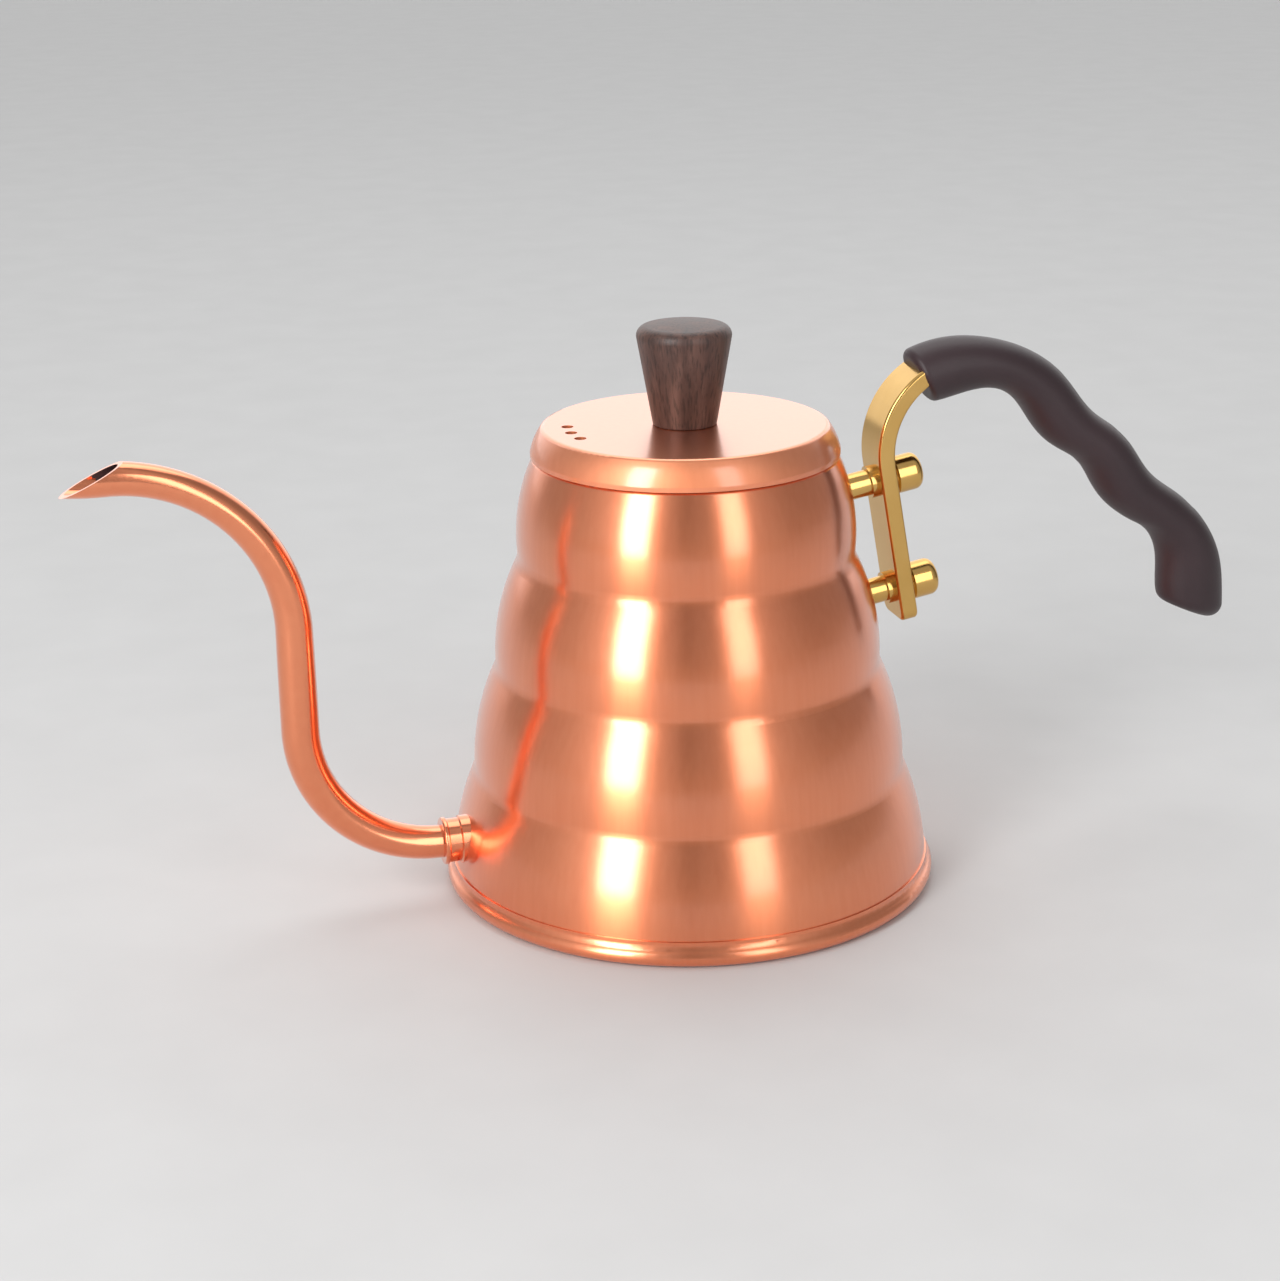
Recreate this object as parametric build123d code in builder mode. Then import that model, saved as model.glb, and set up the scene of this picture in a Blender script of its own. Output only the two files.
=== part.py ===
from build123d import *
from math import asin, cos, degrees, radians, sin
import os

# Gooseneck drip kettle: a ribbed sheet-copper body, a slim tapering spout, a lift-off lid
# with a turned wooden knob, and a brass strap that carries the moulded grip.
# Millimetres. +Z is up, the spout points along -X and the handle along +X, and the origin
# is the centre of the face that the kettle stands on.

os.makedirs("parts", exist_ok=True)

# ---------------------------------------------------------------- driving dimensions

SHEET = 0.8  # thickness of the copper sheet
SEAM = 0.05  # gap that brazing or a thread fills between round faces

# Body: four convex ribs between a shoulder, three grooves and the foot, as (radius, height)
SHOULDER = (42.6, 125.0)
GROOVES = ((47.6, 96.0), (54.9, 64.6), (62.0, 33.8))
FOOT = (68.8, 7.6)
RIB_BULGES = (2.1, 2.2, 1.9, 1.2)
GROOVE_ROUNDING = 7.0
SHOULDER_ROUNDING = 1.4
FOOT_BOTTOM = 3.2  # the foot goes on down inside the rim of the base pan

# Mouth: the sheet turns inwards at the shoulder and down into a short collar
MOUTH_R = 40.0
MOUTH_ROUNDING = 1.0
MOUTH_DEPTH = 6.0

# Base pan
PAN_R = 69.2
PAN_CORNER = 2.6
RIM_TOP = 7.4
BEAD_R = 2.6  # rolled bead round the bottom of the rim
BEAD_CENTRE = (68.3, 2.9)
BEAD_BLEND = 2.0
PAN_RING_SLOPE = 2.0
PAN_RING_R = (49.0, 57.0)  # pressed ring that keeps the bottom flat
PAN_RING_RISE = 0.6

# Lid
LID_TOP = 133.4
LID_FLAT_R = 39.9
LID_RIM_R = 43.3
LID_RIM_Z = 125.2
LID_RIM_LAND = 1.2  # upright edge at the bottom of the rim
LID_BAND_BULGE = 0.45
LID_EDGE_ROUNDING = 1.6
LID_LAND_ROUNDING = 1.8
SKIRT_CLEARANCE = 0.4
SKIRT_DEPTH = 11.5
VENT_D = 3.4
VENT_R = 32.7
VENT_COUNT = 3
VENT_STEP = 12.3  # degrees between vent holes

# Knob and the screw that holds it
KNOB_BOTTOM_R = 8.9
KNOB_TOP_R = 13.7
KNOB_HEIGHT = 27.4
KNOB_DOME = 0.8
KNOB_EDGE_ROUNDING = 2.8
KNOB_FOOT_ROUNDING = 0.5
SCREW_D = 4.0
SCREW_RUNNING_GAP = 0.05
SCREW_LENGTH = 11.0
SCREW_HEAD_D = 7.6
SCREW_HEAD_HEIGHT = 2.4
SCREW_HEX = 2.5
SCREW_HEX_DEPTH = 1.4
KNOB_WASHER_D = 10.0
KNOB_WASHER_THICKNESS = 0.8
INSERT_D = 7.0
INSERT_LENGTH = 12.5

# Spout: straight root, a bend up, a rise, a bend over and a tip that lifts a little
SPOUT_Z = 17.3
SPOUT_ROOT_X = 73.7  # the bend starts at the end of the collar
SPOUT_LOWER_BEND = 38.3
SPOUT_RISE = 28.9
SPOUT_UPPER_BEND = 47.0
SPOUT_TIP_BEND = 80.0
SPOUT_TIP_LIFT = 8.0
SPOUT_TIP_RUN = 8.0
SPOUT_WALL = 0.8
SPOUT_ROOT_R = 4.7
SPOUT_SIZES = (  # (place along the bent part, outer radius)
    (0.0, SPOUT_ROOT_R),
    (0.14, 5.1),
    (0.28, 5.3),
    (0.46, 5.2),
    (0.77, 4.55),
    (0.90, 4.7),
    (1.0, 5.1),
)
SPOUT_CUT_TOP = (-154.6, 135.6)
SPOUT_CUT_BOTTOM = (-171.4, 127.4)
COLLAR_R = 6.8
COLLAR_WAIST_R = 6.3
COLLAR_LIP = 1.1
COLLAR_GROOVE_SLOPE = 0.4
BACKING_RING_R = 6.6
BACKING_RING_THICKNESS = 1.4

# Handle strap: a flat bar that stands off the body on two bolts and runs on into the grip
STRAP_WIDTH = 15.0
STRAP_THICKNESS = 5.0
STRAP_LEAN = 9.66  # degrees from upright, with the top towards the body
STRAP_FOOT = (65.8, 70.7)
STRAP_STRAIGHT = 46.8
STRAP_BENDS = (  # (radius, degrees above level that the strap has turned to at its end)
    (25.1, 60.0),
    (24.8, 33.0),
    (20.0, 0.0),  # from here on the strap is a tang inside the grip
    (45.0, -35.0),
)
STRAP_CORNER = 3.0
STRAP_EDGE = 0.9

# Bolts: their places along the strap, from its foot, and their fittings from body to nut
BOLT_PLACES = {"lower": 9.35, "upper": 42.1}
BOLT_D = 5.0
BOLT_HEAD_D = 9.0
BOLT_HEAD_HEIGHT = 2.4
BOLT_HEAD_ROUNDING = 1.4
INNER_WASHER_D = 10.5
INNER_WASHER_THICKNESS = 1.4
SPACER_D = 7.6
SPACER_FLANGE_D = 9.4
SPACER_FLANGE_THICKNESS = 1.8
WASHER_D = 9.0
WASHER_THICKNESS = 1.0
NUT_D = 10.8
NUT_LENGTH = 8.0
NUT_ROUNDING = 2.4
NUT_CHAMFER = 0.4
NUT_BORE_DEPTH = 6.0
THREAD_CLEARANCE = 0.15

# Grip: its upper and lower outlines in the plane of the handle, and its width across
GRIP_UPPER = (
    (65.1, 148.6),
    (72.5, 151.1),
    (80.3, 152.0),
    (88.1, 151.4),
    (95.8, 149.6),
    (103.1, 146.7),
    (109.8, 142.5),
    (115.5, 136.9),
    (120.2, 130.7),
    (125.9, 125.3),
    (132.2, 120.6),
    (137.4, 114.6),
    (141.9, 108.2),
    (147.9, 103.0),
    (154.2, 98.4),
    (159.8, 92.9),
    (164.2, 86.5),
    (167.2, 79.2),
    (168.6, 71.4),
    (169.1, 64.5),
    (169.2, 58.2),
)
GRIP_LOWER = (
    (72.9, 133.9),
    (79.9, 135.2),
    (86.6, 136.5),
    (92.9, 136.1),
    (98.3, 133.3),
    (102.8, 128.0),
    (107.0, 122.0),
    (112.6, 117.1),
    (118.4, 113.5),
    (122.7, 109.0),
    (126.4, 102.8),
    (131.4, 97.1),
    (137.5, 92.8),
    (143.1, 89.3),
    (146.4, 84.9),
    (148.0, 78.2),
    (148.2, 71.5),
    (149.4, 66.4),
)
GRIP_HALF_WIDTHS = (8.6, 9.6, 8.8)  # at the strap, at the middle and at the free end
GRIP_STRETCHES = 4
STATIONS_PER_STRETCH = 6
GRIP_START_ROUNDING = 2.0
GRIP_END_ROUNDING = 4.0

# ------------------------------------------------------------------------- helpers


def write_piece(piece, name):
    """Label a finished piece and write it to its own file."""
    piece.part.label = name
    export_step(piece.part, f"parts/{name}.step")


def round_corners(corners, radius):
    """Round the named corners of the outline that is being drawn."""
    for corner in corners:
        fillet(vertices().sort_by_distance(corner)[0], radius)


def inner_side(outline):
    """Inner side of a sheet whose outer side is a smooth outline, which keeps it on its right."""

    def moved(edge, place):
        way = edge % place
        return edge @ place + Vector(way.Y, -way.X) * SHEET

    stretches = outline.wire().edges()
    with BuildLine() as inner:
        start = moved(stretches[0], 0)
        for edge in stretches:
            end = moved(edge, 1)
            if edge.geom_type == GeomType.LINE:
                Line(start, end)
            else:
                ThreePointArc(start, moved(edge, 0.5), end)
            start = end
    return inner


def sheet_section(outline):
    """Closed cross-section of a sheet, from its smooth outer outline."""
    inner = inner_side(outline)
    with BuildLine() as section:
        add(outline.line)
        add(inner.line)
        Line(outline.wire() @ 0, inner.wire() @ 0)
        Line(outline.wire() @ 1, inner.wire() @ 1)
    return section.line


def filled(outline):
    """Solid of everything between one side of the body's sheet and the kettle's axis."""
    with BuildPart() as solid:
        with BuildSketch(Plane.XZ):
            with BuildLine():
                add(outline.line)
                ends = (outline.wire() @ 0, outline.wire() @ 1)
                Polyline(ends[0], (0, ends[0].Y), (0, ends[1].Y), ends[1])
            make_face()
        revolve(axis=Axis.Z)
    return solid.part


def reach(solid, plane):
    """How far along the axis of a plane a solid extends on the plane's own side."""
    hits = solid.find_intersection_points(Axis(plane.origin, plane.z_dir))
    return max(plane.to_local_coords(point).Z for point, _ in hits)


# ---------------------------------------------------------------------- body shell

with BuildLine() as shell_outline:
    Polyline((MOUTH_R, SHOULDER[1] - MOUTH_DEPTH), (MOUTH_R, SHOULDER[1]), SHOULDER)
    rib_ends = (SHOULDER, *GROOVES, FOOT)
    for upper_end, lower_end, bulge in zip(rib_ends, rib_ends[1:], RIB_BULGES):
        SagittaArc(upper_end, lower_end, bulge)
    Line(FOOT, (FOOT[0], FOOT_BOTTOM))
    round_corners(GROOVES, GROOVE_ROUNDING)
    round_corners([SHOULDER], SHOULDER_ROUNDING)
    round_corners([(MOUTH_R, SHOULDER[1])], MOUTH_ROUNDING)


# Fittings outside the shell are cut back from the first solid and those inside to the second
envelope = filled(shell_outline)
cavity = filled(inner_side(shell_outline))

spout_root_plane = Plane(origin=(0, 0, SPOUT_Z), x_dir=(0, 1, 0), z_dir=(-1, 0, 0))
strap_up = Vector(-sin(radians(STRAP_LEAN)), 0, cos(radians(STRAP_LEAN)))
strap_out = Vector(cos(radians(STRAP_LEAN)), 0, sin(radians(STRAP_LEAN)))
strap_foot = Vector(STRAP_FOOT[0], 0, STRAP_FOOT[1])
bolt_planes = {
    level: Plane(origin=strap_foot + strap_up * place, x_dir=(0, 1, 0), z_dir=strap_out)
    for level, place in BOLT_PLACES.items()
}

with BuildPart() as body_shell:
    with BuildSketch(Plane.XZ):
        with BuildLine():
            add(sheet_section(shell_outline))
        make_face()
    revolve(axis=Axis.Z)
    with BuildSketch(spout_root_plane):
        Circle(SPOUT_ROOT_R + SEAM)
    extrude(amount=PAN_R, mode=Mode.SUBTRACT)
    for plane in bolt_planes.values():
        with BuildSketch(plane):
            Circle(BOLT_D / 2 + THREAD_CLEARANCE)
        extrude(amount=-STRAP_FOOT[0] / 2, mode=Mode.SUBTRACT)
write_piece(body_shell, "body_shell")

# ------------------------------------------------------------------------ base pan

with BuildPart() as base_pan:
    with BuildSketch(Plane.XZ):
        with BuildLine():
            pan_flat_r = PAN_R - PAN_CORNER
            ring_in, ring_out = PAN_RING_R
            bottom = Polyline(
                (0, 0),
                (ring_in, 0),
                (ring_in + PAN_RING_SLOPE, PAN_RING_RISE),
                (ring_out - PAN_RING_SLOPE, PAN_RING_RISE),
                (ring_out, 0),
                (pan_flat_r, 0),
            )
            corner = JernArc(bottom @ 1, (1, 0), PAN_CORNER, 90)
            rim = Polyline(
                corner @ 1,
                (PAN_R, RIM_TOP),
                (FOOT[0], RIM_TOP),
                (FOOT[0], FOOT_BOTTOM),
                (FOOT[0] - SHEET, FOOT_BOTTOM),
                (FOOT[0] - SHEET, FOOT_BOTTOM - SHEET),
                (pan_flat_r, SHEET),
            )
            Polyline(
                rim @ 1,
                (ring_out, SHEET),
                (ring_out - PAN_RING_SLOPE, PAN_RING_RISE + SHEET),
                (ring_in + PAN_RING_SLOPE, PAN_RING_RISE + SHEET),
                (ring_in, SHEET),
                (0, SHEET),
                (0, 0),
            )
        make_face()
        with Locations(BEAD_CENTRE):
            Circle(BEAD_R)
        bead_top = BEAD_CENTRE[1] + BEAD_R
        round_corners([(PAN_R, bead_top)], BEAD_BLEND)
        with Locations((FOOT[0], FOOT_BOTTOM)):
            Rectangle(BEAD_R, RIM_TOP, align=(Align.MAX, Align.MIN), mode=Mode.SUBTRACT)
    revolve(axis=Axis.Z)
write_piece(base_pan, "base_pan")

# ----------------------------------------------------------------------------- lid

rim_inner_r = LID_RIM_R - SHEET
skirt_r = MOUTH_R - SKIRT_CLEARANCE
lid_underside = LID_TOP - SHEET

with BuildLine() as lid_outline:
    land_top = (LID_RIM_R, LID_RIM_Z + LID_RIM_LAND)
    Line((0, LID_TOP), (LID_FLAT_R, LID_TOP))
    SagittaArc((LID_FLAT_R, LID_TOP), land_top, LID_BAND_BULGE)
    Line(land_top, (LID_RIM_R, LID_RIM_Z))
    round_corners([(LID_FLAT_R, LID_TOP)], LID_EDGE_ROUNDING)
    round_corners([land_top], LID_LAND_ROUNDING)

with BuildPart() as lid_plate:
    with BuildSketch(Plane.XZ):
        with BuildLine():
            add(sheet_section(lid_outline))
        make_face()
    revolve(axis=Axis.Z)
    with BuildSketch(Plane.XY.offset(LID_TOP)):
        Circle(SCREW_D / 2 + SCREW_RUNNING_GAP)
        vents = PolarLocations(
            VENT_R,
            VENT_COUNT,
            start_angle=180 - VENT_STEP,
            angular_range=(VENT_COUNT - 1) * VENT_STEP,
            endpoint=True,
        )
        with vents:
            Circle(VENT_D / 2)
    extrude(amount=-2 * SHEET, mode=Mode.SUBTRACT)
write_piece(lid_plate, "lid_plate")

with BuildPart() as lid_skirt:
    with BuildSketch(Plane.XZ):
        with BuildLine():
            Polyline(
                (skirt_r, SHOULDER[1] - SKIRT_DEPTH),
                (skirt_r, SHOULDER[1]),
                (rim_inner_r, SHOULDER[1]),
                (rim_inner_r, SHOULDER[1] + SHEET),
                (skirt_r - SHEET, SHOULDER[1] + SHEET),
                (skirt_r - SHEET, SHOULDER[1] - SKIRT_DEPTH),
                close=True,
            )
        make_face()
    revolve(axis=Axis.Z)
write_piece(lid_skirt, "lid_skirt")

# ---------------------------------------------------------------- knob and its screw

with BuildPart() as knob:
    with BuildSketch(Plane.XZ):
        with BuildLine():
            knob_top = LID_TOP + KNOB_HEIGHT
            dome_r = (KNOB_TOP_R**2 + KNOB_DOME**2) / (2 * KNOB_DOME)
            dome_angle = degrees(asin(KNOB_TOP_R / dome_r))
            dome = JernArc((0, knob_top + KNOB_DOME), (1, 0), dome_r, -dome_angle)
            Polyline(
                dome @ 1,
                (KNOB_BOTTOM_R, LID_TOP),
                (0, LID_TOP),
                (0, knob_top + KNOB_DOME),
            )
        make_face()
        round_corners([(KNOB_TOP_R, knob_top)], KNOB_EDGE_ROUNDING)
        round_corners([(KNOB_BOTTOM_R, LID_TOP)], KNOB_FOOT_ROUNDING)
    revolve(axis=Axis.Z)
    with BuildSketch(Plane.XY.offset(LID_TOP)):
        Circle(INSERT_D / 2)
    extrude(amount=INSERT_LENGTH, mode=Mode.SUBTRACT)
write_piece(knob, "knob")

screw_seat = lid_underside - KNOB_WASHER_THICKNESS

with BuildPart() as knob_insert:
    with BuildSketch(Plane.XY.offset(LID_TOP)):
        Circle(INSERT_D / 2)
    extrude(amount=INSERT_LENGTH)
    with BuildSketch(Plane.XY.offset(LID_TOP)):
        Circle(SCREW_D / 2 + SCREW_RUNNING_GAP)
    extrude(amount=SCREW_LENGTH, mode=Mode.SUBTRACT)
write_piece(knob_insert, "knob_insert")

with BuildPart() as knob_washer:
    with BuildSketch(Plane.XY.offset(screw_seat)):
        Circle(KNOB_WASHER_D / 2)
        Circle(SCREW_D / 2 + THREAD_CLEARANCE, mode=Mode.SUBTRACT)
    extrude(amount=KNOB_WASHER_THICKNESS)
write_piece(knob_washer, "knob_washer")

with BuildPart() as knob_screw:
    with BuildSketch(Plane.XY.offset(screw_seat)):
        Circle(SCREW_D / 2)
    extrude(amount=SCREW_LENGTH)
    with BuildSketch(Plane.XY.offset(screw_seat - SCREW_HEAD_HEIGHT)):
        Circle(SCREW_HEAD_D / 2)
    extrude(amount=SCREW_HEAD_HEIGHT)
    fillet(edges().group_by(Axis.Z)[0], SCREW_HEAD_HEIGHT / 2)
    with BuildSketch(Plane.XY.offset(screw_seat - SCREW_HEAD_HEIGHT)):
        RegularPolygon(SCREW_HEX / 2, 6, major_radius=False)
    extrude(amount=SCREW_HEX_DEPTH, mode=Mode.SUBTRACT)
write_piece(knob_screw, "knob_screw")

# --------------------------------------------------------------------------- spout

shell_at_spout = reach(envelope, spout_root_plane)
backing_ring_end = reach(cavity, spout_root_plane) - BACKING_RING_THICKNESS

with BuildLine(Plane.XZ) as spout_axis:
    rise_x = -SPOUT_ROOT_X - SPOUT_LOWER_BEND
    rise_foot = SPOUT_Z + SPOUT_LOWER_BEND
    rise_top = rise_foot + SPOUT_RISE
    crest = (rise_x - SPOUT_UPPER_BEND, rise_top + SPOUT_UPPER_BEND)
    lift = radians(SPOUT_TIP_LIFT)
    lip = (crest[0] - SPOUT_TIP_BEND * sin(lift), crest[1] + SPOUT_TIP_BEND * (1 - cos(lift)))
    JernArc((-SPOUT_ROOT_X, SPOUT_Z), (-1, 0), SPOUT_LOWER_BEND, -90)
    Line((rise_x, rise_foot), (rise_x, rise_top))
    JernArc((rise_x, rise_top), (0, 1), SPOUT_UPPER_BEND, 90)
    JernArc(crest, (-1, 0), SPOUT_TIP_BEND, -SPOUT_TIP_LIFT)
    PolarLine(lip, SPOUT_TIP_RUN, 180 - SPOUT_TIP_LIFT)


def spout_body(shrink):
    """Solid of the bent spout, with every radius made smaller by shrink."""
    axis = spout_axis.wires()[0]
    with BuildPart() as body:
        for place, radius in SPOUT_SIZES:
            with BuildSketch(Plane(origin=axis @ place, x_dir=(0, 1, 0), z_dir=axis % place)):
                Circle(radius - shrink)
        sweep(path=axis, multisection=True)
    return body.part


with BuildPart() as spout_tube:
    add(spout_body(0))
    with BuildSketch(Plane.YZ.offset(-SPOUT_ROOT_X)):
        with Locations((0, SPOUT_Z)):
            Circle(SPOUT_ROOT_R)
    extrude(amount=SPOUT_ROOT_X - backing_ring_end)
    add(spout_body(SPOUT_WALL), mode=Mode.SUBTRACT)
    with BuildSketch(Plane.YZ.offset(-SPOUT_ROOT_X)):
        with Locations((0, SPOUT_Z)):
            Circle(SPOUT_ROOT_R - SPOUT_WALL)
    extrude(amount=SPOUT_ROOT_X - backing_ring_end, mode=Mode.SUBTRACT)
    cut_top = Vector(SPOUT_CUT_TOP[0], 0, SPOUT_CUT_TOP[1])
    cut_bottom = Vector(SPOUT_CUT_BOTTOM[0], 0, SPOUT_CUT_BOTTOM[1])
    cut_face_out = (cut_bottom - cut_top).cross(Vector(0, 1, 0))
    split(bisect_by=Plane(origin=cut_top, x_dir=(0, 1, 0), z_dir=cut_face_out), keep=Keep.TOP)
write_piece(spout_tube, "spout_tube")

with BuildPart() as spout_collar:
    with BuildSketch(Plane.XZ):
        with BuildLine():
            collar_bore = SPOUT_Z + SPOUT_ROOT_R + SEAM
            lip_z = SPOUT_Z + COLLAR_R
            waist_z = SPOUT_Z + COLLAR_WAIST_R
            Polyline(
                (-SPOUT_ROOT_X, collar_bore),
                (-SPOUT_ROOT_X, lip_z),
                (-SPOUT_ROOT_X + COLLAR_LIP, lip_z),
                (-SPOUT_ROOT_X + COLLAR_LIP + COLLAR_GROOVE_SLOPE, waist_z),
                (-shell_at_spout - COLLAR_LIP - COLLAR_GROOVE_SLOPE, waist_z),
                (-shell_at_spout - COLLAR_LIP, lip_z),
                (-shell_at_spout + COLLAR_R / 2, lip_z),
                (-shell_at_spout + COLLAR_R / 2, collar_bore),
                close=True,
            )
        make_face()
        round_corners([(-SPOUT_ROOT_X, lip_z)], COLLAR_LIP / 2)
    revolve(axis=Axis((0, 0, SPOUT_Z), (-1, 0, 0)))
    add(envelope, mode=Mode.SUBTRACT)
write_piece(spout_collar, "spout_collar")

with BuildPart() as spout_backing_ring:
    with BuildSketch(Plane.YZ.offset(-backing_ring_end)):
        with Locations((0, SPOUT_Z)):
            Circle(BACKING_RING_R)
            Circle(SPOUT_ROOT_R + SEAM, mode=Mode.SUBTRACT)
    extrude(amount=-BACKING_RING_R)
    add(cavity, mode=Mode.INTERSECT)
write_piece(spout_backing_ring, "spout_backing_ring")

# -------------------------------------------------------------------- handle strap

with BuildLine(Plane.XZ) as strap_axis:
    heading = radians(90 + STRAP_LEAN)
    bend_x = STRAP_FOOT[0] + STRAP_STRAIGHT * cos(heading)
    bend_z = STRAP_FOOT[1] + STRAP_STRAIGHT * sin(heading)
    Line(STRAP_FOOT, (bend_x, bend_z))
    for radius, new_angle in STRAP_BENDS:
        new_heading = radians(new_angle)
        turn = new_angle - degrees(heading)
        JernArc((bend_x, bend_z), (cos(heading), sin(heading)), radius, turn)
        bend_x += radius * (sin(heading) - sin(new_heading))
        bend_z += radius * (cos(new_heading) - cos(heading))
        heading = new_heading


def strap_body():
    """The bar before its holes are drilled, straight at the foot and bent at the top."""
    with BuildPart() as bar:
        with BuildSketch(Plane(origin=strap_foot, x_dir=(0, 1, 0), z_dir=strap_up)):
            Rectangle(STRAP_WIDTH, STRAP_THICKNESS)
        sweep(path=strap_axis.wire())
        foot_face = faces().filter_by(GeomType.PLANE).sort_by_distance(strap_foot)[0]
        fillet(foot_face.edges().filter_by(Axis(strap_foot, strap_out)), STRAP_CORNER)
        sides = faces().filter_by(GeomType.PLANE).group_by(Axis.Y)
        fillet(sides[0].edges() + sides[-1].edges(), STRAP_EDGE)
    return bar.part


with BuildPart() as handle_strap:
    add(strap_body())
    for plane in bolt_planes.values():
        with BuildSketch(plane):
            Circle(BOLT_D / 2 + THREAD_CLEARANCE)
        extrude(amount=STRAP_THICKNESS, both=True, mode=Mode.SUBTRACT)
write_piece(handle_strap, "handle_strap")

# --------------------------------------------------------------------------- bolts

for level, plane in bolt_planes.items():
    strap_face = STRAP_THICKNESS / 2
    wall_in = reach(cavity, plane)
    washer_in = wall_in - INNER_WASHER_THICKNESS
    nut_seat = strap_face + WASHER_THICKNESS

    with BuildPart() as bolt:
        with BuildSketch(plane.offset(washer_in - BOLT_HEAD_HEIGHT)):
            Circle(BOLT_HEAD_D / 2)
        extrude(amount=BOLT_HEAD_HEIGHT)
        head_rim = edges().filter_by(GeomType.CIRCLE).sort_by_distance(plane.origin)[-1]
        fillet(head_rim, BOLT_HEAD_ROUNDING)
        with BuildSketch(plane.offset(washer_in)):
            Circle(BOLT_D / 2)
        extrude(amount=nut_seat + NUT_BORE_DEPTH - washer_in)
    write_piece(bolt, f"{level}_bolt")

    with BuildPart() as inner_washer:
        with BuildSketch(plane.offset(washer_in)):
            Circle(INNER_WASHER_D / 2)
            Circle(BOLT_D / 2 + THREAD_CLEARANCE, mode=Mode.SUBTRACT)
        extrude(amount=INNER_WASHER_D / 2)
        add(cavity, mode=Mode.INTERSECT)
    write_piece(inner_washer, f"{level}_inner_washer")

    with BuildPart() as spacer:
        with BuildSketch(plane.offset(-strap_face)):
            Circle(SPACER_D / 2)
        extrude(amount=wall_in)
        with BuildSketch(plane.offset(-strap_face)):
            Circle(SPACER_FLANGE_D / 2)
        extrude(amount=-SPACER_FLANGE_THICKNESS)
        with BuildSketch(plane.offset(-strap_face)):
            Circle(BOLT_D / 2 + THREAD_CLEARANCE)
        extrude(amount=wall_in, mode=Mode.SUBTRACT)
        add(envelope, mode=Mode.SUBTRACT)
    write_piece(spacer, f"{level}_spacer")

    with BuildPart() as washer:
        with BuildSketch(plane.offset(strap_face)):
            Circle(WASHER_D / 2)
            Circle(BOLT_D / 2 + THREAD_CLEARANCE, mode=Mode.SUBTRACT)
        extrude(amount=WASHER_THICKNESS)
    write_piece(washer, f"{level}_washer")

    with BuildPart() as cap_nut:
        with BuildSketch(plane.offset(nut_seat)):
            Circle(NUT_D / 2)
        extrude(amount=NUT_LENGTH)
        crown = edges().filter_by(GeomType.CIRCLE).sort_by_distance(plane.origin)
        fillet(crown[-1], NUT_ROUNDING)
        chamfer(crown[0], NUT_CHAMFER)
        with BuildSketch(plane.offset(nut_seat)):
            Circle(BOLT_D / 2)
        extrude(amount=NUT_BORE_DEPTH, mode=Mode.SUBTRACT)
    write_piece(cap_nut, f"{level}_cap_nut")

# ---------------------------------------------------------------------------- grip

with BuildLine(Plane.XZ) as grip_upper:
    Spline(*GRIP_UPPER)
with BuildLine(Plane.XZ) as grip_lower:
    Spline(*GRIP_LOWER)


def grip_section(place):
    """Plane and half sizes of the grip's oval section at a place along its length."""
    top = grip_upper.edge() @ place
    under = grip_lower.edge() @ place
    thickness_way = (top - under).normalized()
    plane = Plane(
        origin=(top + under) / 2,
        x_dir=thickness_way,
        z_dir=thickness_way.cross(Vector(0, 1, 0)),
    )
    start_w, middle_w, end_w = GRIP_HALF_WIDTHS
    swell = 2 * (2 * middle_w - start_w - end_w) * place * (1 - place)
    half_width = start_w * (1 - place) + end_w * place + swell
    return plane, (top - under).length / 2, half_width


with BuildPart() as handle_grip:
    stations = GRIP_STRETCHES * STATIONS_PER_STRETCH
    for stretch in range(GRIP_STRETCHES):
        for step in range(STATIONS_PER_STRETCH + 1):
            place = (stretch * STATIONS_PER_STRETCH + step) / stations
            plane, half_thickness, half_width = grip_section(place)
            with BuildSketch(plane):
                Ellipse(half_thickness, half_width)
        loft()
    end_faces = faces().filter_by(GeomType.PLANE)
    fillet(end_faces.sort_by(Axis.X)[0].edges(), GRIP_START_ROUNDING)
    fillet(end_faces.sort_by(Axis.X)[-1].edges(), GRIP_END_ROUNDING)
    add(strap_body(), mode=Mode.SUBTRACT)
write_piece(handle_grip, "handle_grip")
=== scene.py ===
import math

import bpy
from mathutils import Euler, Matrix, Vector
from mathutils.bvhtree import BVHTree


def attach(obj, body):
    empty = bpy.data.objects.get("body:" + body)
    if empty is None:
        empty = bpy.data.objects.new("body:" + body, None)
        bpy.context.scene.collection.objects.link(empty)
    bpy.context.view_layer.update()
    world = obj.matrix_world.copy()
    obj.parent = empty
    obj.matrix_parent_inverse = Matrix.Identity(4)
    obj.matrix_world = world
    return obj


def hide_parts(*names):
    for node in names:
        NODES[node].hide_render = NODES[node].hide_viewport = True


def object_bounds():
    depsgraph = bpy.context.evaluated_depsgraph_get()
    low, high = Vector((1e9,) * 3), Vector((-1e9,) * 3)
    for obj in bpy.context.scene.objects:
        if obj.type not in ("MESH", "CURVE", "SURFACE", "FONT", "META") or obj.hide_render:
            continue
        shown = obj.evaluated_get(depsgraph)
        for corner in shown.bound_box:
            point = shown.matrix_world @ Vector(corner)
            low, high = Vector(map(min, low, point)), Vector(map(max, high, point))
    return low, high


# Gooseneck drip kettle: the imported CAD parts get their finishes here, inside a plain pale
# studio. Metres, in the frame of the CAD: +Z up, spout along -X, handle along +X.

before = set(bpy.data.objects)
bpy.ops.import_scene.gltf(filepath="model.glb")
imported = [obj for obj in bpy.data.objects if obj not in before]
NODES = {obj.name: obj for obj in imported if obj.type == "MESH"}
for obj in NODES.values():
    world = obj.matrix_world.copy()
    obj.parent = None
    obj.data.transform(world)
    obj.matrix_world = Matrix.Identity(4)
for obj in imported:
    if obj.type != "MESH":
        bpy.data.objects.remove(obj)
cad_box = [list(corner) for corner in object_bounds()]

# ---------------------------------------------------------------------------- camera

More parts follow.
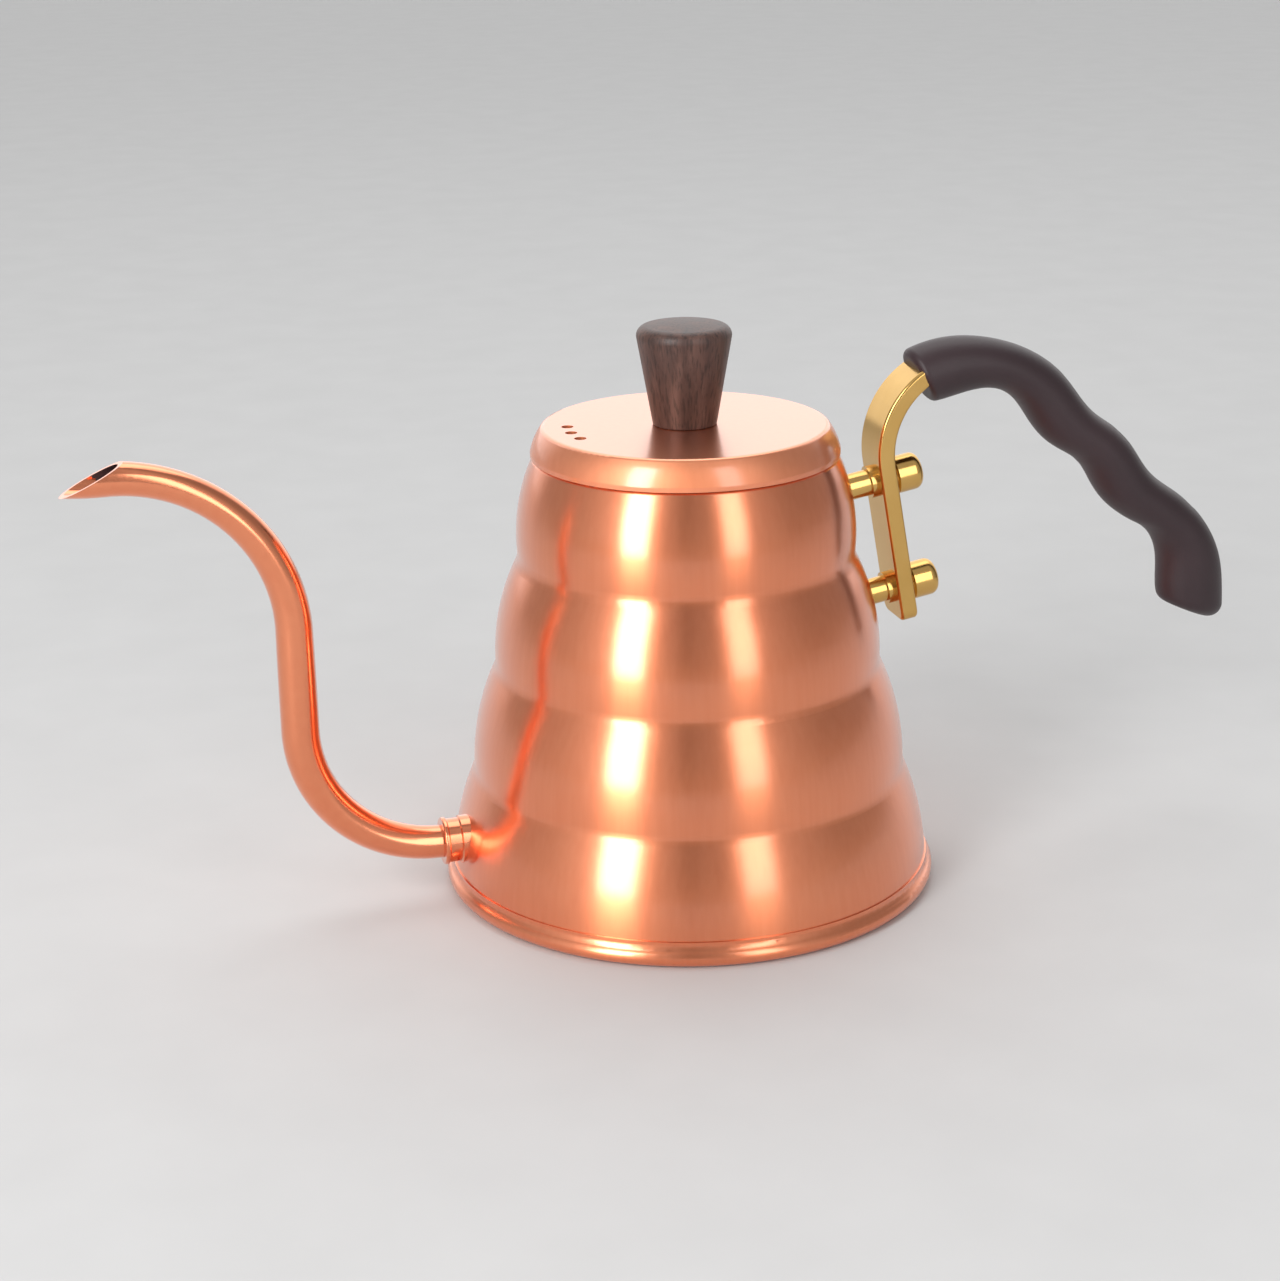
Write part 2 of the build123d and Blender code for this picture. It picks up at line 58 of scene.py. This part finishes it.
CAMERA_PLACE = (-0.2007, -0.6563, 0.3026)
CAMERA_PITCH = 18.74  # degrees down
CAMERA_AZIMUTH = -17.0  # degrees round from the front, towards the spout
CAMERA_YAW = 1.12
CAMERA_ROLL = -0.93
FOCAL_PIXELS = 2533.0
PHOTO_WIDTH = 1280
SENSOR_MM = 36.0

camera_data = bpy.data.cameras.new("camera")
camera_data.sensor_width = SENSOR_MM
camera_data.sensor_fit = "HORIZONTAL"
camera_data.lens = FOCAL_PIXELS / PHOTO_WIDTH * SENSOR_MM
camera_data.clip_start = 0.01
camera = bpy.data.objects.new("camera", camera_data)
bpy.context.scene.collection.objects.link(camera)
turn = Euler((math.radians(90 - CAMERA_PITCH), 0, math.radians(CAMERA_AZIMUTH + CAMERA_YAW)))
camera.matrix_world = (
    Matrix.Translation(CAMERA_PLACE)
    @ turn.to_matrix().to_4x4()
    @ Matrix.Rotation(math.radians(CAMERA_ROLL), 4, "Z")
)
bpy.context.scene.camera = camera

# ---------------------------------------------------------------------- node helpers


class Nodes:
    """Short ways to lay out and link the nodes of one material or of the world."""

    def __init__(self, tree):
        self.tree = tree
        tree.nodes.clear()

    def add(self, kind, **settings):
        node = self.tree.nodes.new(kind)
        for name, value in settings.items():
            setattr(node, name, value)
        return node

    def link(self, source, target):
        self.tree.links.new(source, target)

    def math(self, operation, a, b=None, c=None):
        node = self.add("ShaderNodeMath", operation=operation)
        for socket, value in zip(node.inputs, (a, b, c)):
            if isinstance(value, (int, float)):
                socket.default_value = value
            elif value is not None:
                self.link(value, socket)
        return node.outputs[0]

    def coords(self, scale):
        """Object coordinates in metres, stretched by scale along each axis."""
        source = self.add("ShaderNodeTexCoord")
        mapping = self.add("ShaderNodeMapping")
        mapping.inputs["Scale"].default_value = scale
        self.link(source.outputs["Object"], mapping.inputs["Vector"])
        return mapping.outputs["Vector"]

    def noise(self, vector, scale, detail=4.0, distortion=0.0):
        node = self.add("ShaderNodeTexNoise")
        self.link(vector, node.inputs["Vector"])
        node.inputs["Scale"].default_value = scale
        node.inputs["Detail"].default_value = detail
        node.inputs["Distortion"].default_value = distortion
        return node.outputs["Fac"]

    def ramp(self, value, stops):
        """Colour ramp; a stop is (place, grey level) or (place, (r, g, b))."""
        node = self.add("ShaderNodeValToRGB")
        elements = node.color_ramp.elements
        while len(elements) < len(stops):
            elements.new(0.5)
        for element, (place, tone) in zip(elements, stops):
            element.position = place
            r, g, b = (tone,) * 3 if isinstance(tone, (int, float)) else tone
            element.color = (r, g, b, 1)
        self.link(value, node.inputs["Fac"])
        return node.outputs["Color"]

    def two_tone(self, value, low, high):
        """Colour ramp over the middle of a noise, where nearly all of its values lie."""
        return self.ramp(value, ((0.3, low), (0.7, high)))

    def spread(self, value, low, high):
        """The value from 0 to 1 laid out between low and high."""
        node = self.add("ShaderNodeMapRange")
        node.inputs["To Min"].default_value = low
        node.inputs["To Max"].default_value = high
        self.link(value, node.inputs["Value"])
        return node.outputs["Result"]

    def bump(self, height, distance, strength=1.0):
        node = self.add("ShaderNodeBump")
        node.inputs["Distance"].default_value = distance
        node.inputs["Strength"].default_value = strength
        self.link(height, node.inputs["Height"])
        return node.outputs["Normal"]

    def shader(self, **inputs):
        """The principled shader, joined to the output, with its inputs set or linked."""
        bsdf = self.add("ShaderNodeBsdfPrincipled")
        for name, value in inputs.items():
            socket = bsdf.inputs[name.replace("_", " ")]
            if isinstance(value, bpy.types.NodeSocket):
                self.link(value, socket)
            else:
                socket.default_value = value
        output = self.add("ShaderNodeOutputMaterial")
        self.link(bsdf.outputs["BSDF"], output.inputs["Surface"])
        return bsdf


def new_material(name):
    """An empty material and its nodes."""
    material = bpy.data.materials.new(name)
    material.use_nodes = True
    return material, Nodes(material.node_tree)


# ------------------------------------------------------------------------- materials

BRUSH_DEPTH = 0.00001  # m, polishing and brushing lines
PORE_DEPTH = 0.0001
MOULD_DEPTH = 0.00006


def copper(name, tones, top_roughness, side_roughness, anisotropy, grain):
    """Polished copper under clear lacquer, with polishing lines; flat tops and sides differ."""
    material, n = new_material(name)
    fine = n.noise(n.coords(grain), 9.0, 6.0)
    broad = n.noise(n.coords((1, 1, 1)), 14.0, 3.0)
    tone = n.math("ADD", n.math("MULTIPLY", fine, 0.45), n.math("MULTIPLY", broad, 0.55))
    colour = n.two_tone(tone, *tones)
    tangent = n.add("ShaderNodeTangent", direction_type="RADIAL", axis="Z")
    facing = n.add("ShaderNodeSeparateXYZ")
    n.link(n.add("ShaderNodeNewGeometry").outputs["Normal"], facing.inputs["Vector"])
    polish = n.spread(facing.outputs["Z"], side_roughness, top_roughness)
    n.shader(
        Base_Color=colour,
        Metallic=1.0,
        Roughness=n.math("ADD", polish, n.spread(tone, -0.03, 0.03)),
        Anisotropic=anisotropy,
        Anisotropic_Rotation=0.25,
        Tangent=tangent.outputs["Tangent"],
        Coat_Weight=0.9,
        Coat_Roughness=0.17,
        Coat_IOR=1.75,
        Normal=n.bump(fine, BRUSH_DEPTH),
    )
    return material


def brass(name):
    """Satin brass with faint brushing and slightly uneven tone."""
    material, n = new_material(name)
    fine = n.noise(n.coords((40, 900, 40)), 6.0, 5.0)
    broad = n.noise(n.coords((1, 1, 1)), 60.0, 3.0)
    colour = n.two_tone(broad, (0.64, 0.385, 0.115), (0.72, 0.45, 0.150))
    n.shader(
        Base_Color=colour,
        Metallic=1.0,
        Roughness=n.spread(fine, 0.13, 0.23),
        Normal=n.bump(fine, BRUSH_DEPTH),
    )
    return material


def steel(name):
    """Brushed pale metal, for the steel pieces and the tin lining."""
    material, n = new_material(name)
    fine = n.noise(n.coords((300, 300, 40)), 8.0, 5.0)
    n.shader(
        Base_Color=n.two_tone(fine, 0.50, 0.62),
        Metallic=1.0,
        Roughness=n.spread(fine, 0.24, 0.36),
        Normal=n.bump(fine, BRUSH_DEPTH),
    )
    return material


def walnut(name):
    """Dark oiled walnut with upright grain, pores and a low sheen."""
    material, n = new_material(name)
    figure = n.noise(n.coords((1.0, 1.0, 0.06)), 260.0, 6.0, 0.6)
    pores = n.noise(n.coords((1.0, 1.0, 0.035)), 1500.0, 3.0)
    dark = (0.045, 0.020, 0.015)
    middle = (0.086, 0.040, 0.030)
    light = (0.138, 0.070, 0.053)
    grain = n.ramp(figure, ((0.28, dark), (0.50, middle), (0.74, light)))
    pore_mask = n.ramp(pores, ((0.36, 0.45), (0.50, 1.0)))
    mix = n.add("ShaderNodeMix", data_type="RGBA", blend_type="MULTIPLY")
    mix.inputs["Factor"].default_value = 1.0
    n.link(grain, mix.inputs[6])
    n.link(pore_mask, mix.inputs[7])
    n.shader(
        Base_Color=mix.outputs[2],
        Roughness=n.spread(figure, 0.42, 0.58),
        Coat_Weight=0.15,
        Coat_Roughness=0.35,
        Normal=n.bump(pores, PORE_DEPTH, 0.6),
    )
    return material


def grip_plastic(name):
    """Dark plum-brown moulded plastic with a fine matte texture."""
    material, n = new_material(name)
    texture = n.noise(n.coords((1, 1, 1)), 2600.0, 2.0)
    broad = n.noise(n.coords((1, 1, 1)), 45.0, 3.0)
    colour = n.two_tone(broad, (0.030, 0.0165, 0.0195), (0.040, 0.0225, 0.0260))
    n.shader(
        Base_Color=colour,
        Roughness=n.spread(texture, 0.38, 0.50),
        Specular_IOR_Level=0.4,
        Normal=n.bump(texture, MOULD_DEPTH, 0.5),
    )
    return material


COPPER_TONES = ((0.87, 0.235, 0.088), (0.93, 0.285, 0.115))
LID_TONES = ((0.84, 0.275, 0.120), (0.90, 0.325, 0.155))
COPPER_BODY = copper("copper_polished", COPPER_TONES, 0.30, 0.30, 0.8, (70, 70, 2.5))
COPPER_TUBE = copper("copper_tube", COPPER_TONES, 0.17, 0.17, 0.0, (40, 40, 40))
COPPER_LID = copper("copper_lid", LID_TONES, 0.32, 0.60, 0.0, (60, 60, 2.5))
BRASS = brass("brass_satin")
TIN = steel("tin_lining")
# Painted shade: the grip's dark plastic goes on the spout's inner faces for the shade inside its
# bore, partly also its dull inner wall.
BORE_PAINTED_SHADE = grip_plastic("tube_inside_painted_shade")
STEEL = steel("steel_brushed")
WALNUT = walnut("walnut_oiled")
GRIP = grip_plastic("grip_matte")

FINISHES = {
    "body_shell": COPPER_BODY,
    "base_pan": COPPER_BODY,
    "spout_tube": COPPER_TUBE,
    "spout_collar": COPPER_TUBE,
    "spout_backing_ring": COPPER_TUBE,
    "lid_plate": COPPER_LID,
    "lid_skirt": STEEL,
    "knob": WALNUT,
    "knob_insert": BRASS,
    "knob_screw": STEEL,
    "knob_washer": STEEL,
    "handle_grip": GRIP,
}
for name, node in NODES.items():
    finish = FINISHES.get(name, BRASS)
    for material_slot in node.material_slots:
        material_slot.material = finish

# ------------------------------------------------------------------------- tin lining, and painted shade in the spout's bore

BORE_REACH = 0.014  # m, more than the bore of the spout, less than any of its bends
RAY_LIFT = 0.0001  # off the face that the ray leaves


def copy_with_inner_faces(name, lining_and_painted_shade, is_inner):
    """A copy of a copper node whose inner faces take the tin lining, or painted shade in the
    spout; it stands for the node.
    """
    mesh = NODES[name].data.copy()
    mesh.materials.append(lining_and_painted_shade)
    for face in mesh.polygons:
        if is_inner(face):
            face.material_index = len(mesh.materials) - 1
    piece = bpy.data.objects.new(name + "_with_inside", mesh)
    bpy.context.scene.collection.objects.link(piece)
    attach(piece, "kettle")
    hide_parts(name)


def faces_axis(face):
    """True for a face of the body that looks towards the kettle's upright axis."""
    outward = Vector((face.center.x, face.center.y, 0))
    return face.normal.dot(outward) < 0


spout = NODES["spout_tube"].data
spout_tree = BVHTree.FromPolygons(
    [vertex.co for vertex in spout.vertices], [face.vertices for face in spout.polygons]
)


def faces_bore(face):
    """True for a face of the spout that looks across its own bore."""
    start = face.center + face.normal * RAY_LIFT
    return spout_tree.ray_cast(start, face.normal, BORE_REACH)[0] is not None


copy_with_inner_faces("body_shell", TIN, faces_axis)
# Painted shade: the spout's inner faces are drawn dark for the shade inside its bore.
copy_with_inner_faces("spout_tube", BORE_PAINTED_SHADE, faces_bore)

# ------------------------------------------------------------------- floor and light


def camera_side(azimuth, distance, height):
    """A place at an azimuth in degrees round the kettle from the camera's side, left negative."""
    angle = math.radians(CAMERA_AZIMUTH + azimuth)
    return Vector((math.sin(angle) * distance, -math.cos(angle) * distance, height))


def strip_light(name, azimuth, distance, height, size, power, aim):
    """A rectangular lamp, seen in reflections but not by the camera."""
    light = bpy.data.lights.new(name, "AREA")
    light.shape = "RECTANGLE"
    light.size, light.size_y = size
    light.energy = power
    lamp = bpy.data.objects.new(name, light)
    lamp.visible_camera = False
    bpy.context.scene.collection.objects.link(lamp)
    place = camera_side(azimuth, distance, height)
    way = Vector(aim) - place
    aimed = way.to_track_quat("-Z", "Y").to_matrix().to_4x4()
    lamp.matrix_world = Matrix.Translation(place) @ aimed


STRIP_DISTANCE = 1.3
STRIP_HEIGHT = 0.62
STRIP_AIM = (0, 0, 0.30)
strip_light("key_strip", -34, STRIP_DISTANCE, STRIP_HEIGHT, (0.42, 1.2), 13.6, STRIP_AIM)
strip_light("fill_strip", 33, STRIP_DISTANCE, STRIP_HEIGHT, (0.38, 1.2), 4.0, STRIP_AIM)
strip_light("overhead", 180, 0.6, 1.6, (1.4, 1.0), 4, (0, 0, 0.1))

# The world is grey, brighter or darker by the azimuth from the camera's side.
world = bpy.data.worlds.new("studio")
bpy.context.scene.world = world
world.use_nodes = True
w = Nodes(world.node_tree)
direction = w.add("ShaderNodeTexCoord").outputs["Generated"]
split = w.add("ShaderNodeSeparateXYZ")
w.link(direction, split.inputs["Vector"])
azimuth = w.math("ARCTAN2", split.outputs["X"], w.math("MULTIPLY", split.outputs["Y"], -1.0))
from_camera = w.math("SUBTRACT", azimuth, math.radians(CAMERA_AZIMUTH))
turned = w.math("WRAP", from_camera, math.pi, -math.pi)
place = w.math("MULTIPLY_ADD", turned, 1 / (2 * math.pi), 0.5)


def at(degrees):
    """The place on the world's ramp of an azimuth from -180 to 180."""
    return 0.5 + degrees / 360


WORLD_TONES = (
    (at(-180), 1.8),
    (at(-150), 1.8),
    (at(-132), 1.3),
    (at(-118), 0.45),
    (at(-100), 0.50),
    (at(-72), 0.75),
    (at(-52), 1.15),
    (at(-22), 0.66),
    (at(-8), 0.62),
    (at(-3), 0.36),
    (at(2), 0.34),
    (at(6), 0.50),
    (at(15), 0.48),
    (at(50), 0.76),
    (at(80), 0.42),
    (at(118), 0.36),
    (at(132), 1.2),
    (at(150), 1.8),
    (at(180), 1.8),
)
tones = w.ramp(place, WORLD_TONES)
background = w.add("ShaderNodeBackground")
w.link(tones, background.inputs["Color"])
background.inputs["Strength"].default_value = 0.8
w.link(background.outputs["Background"], w.add("ShaderNodeOutputWorld").inputs["Surface"])

FLOOR_SIDE = 60.0  # m
bpy.ops.mesh.primitive_plane_add(size=FLOOR_SIDE, location=(0, 0, cad_box[0][2]))
floor = bpy.context.object
floor.name = "floor"
floor_paint, n = new_material("floor_paper")
mottle = n.noise(n.coords((1, 1, 1)), 30.0, 3.0)
n.shader(
    Base_Color=n.two_tone(mottle, 0.60, 0.62),
    Roughness=0.75,
    Specular_IOR_Level=0.2,
)
floor.data.materials.append(floor_paint)

bpy.context.scene.view_settings.view_transform = "Standard"
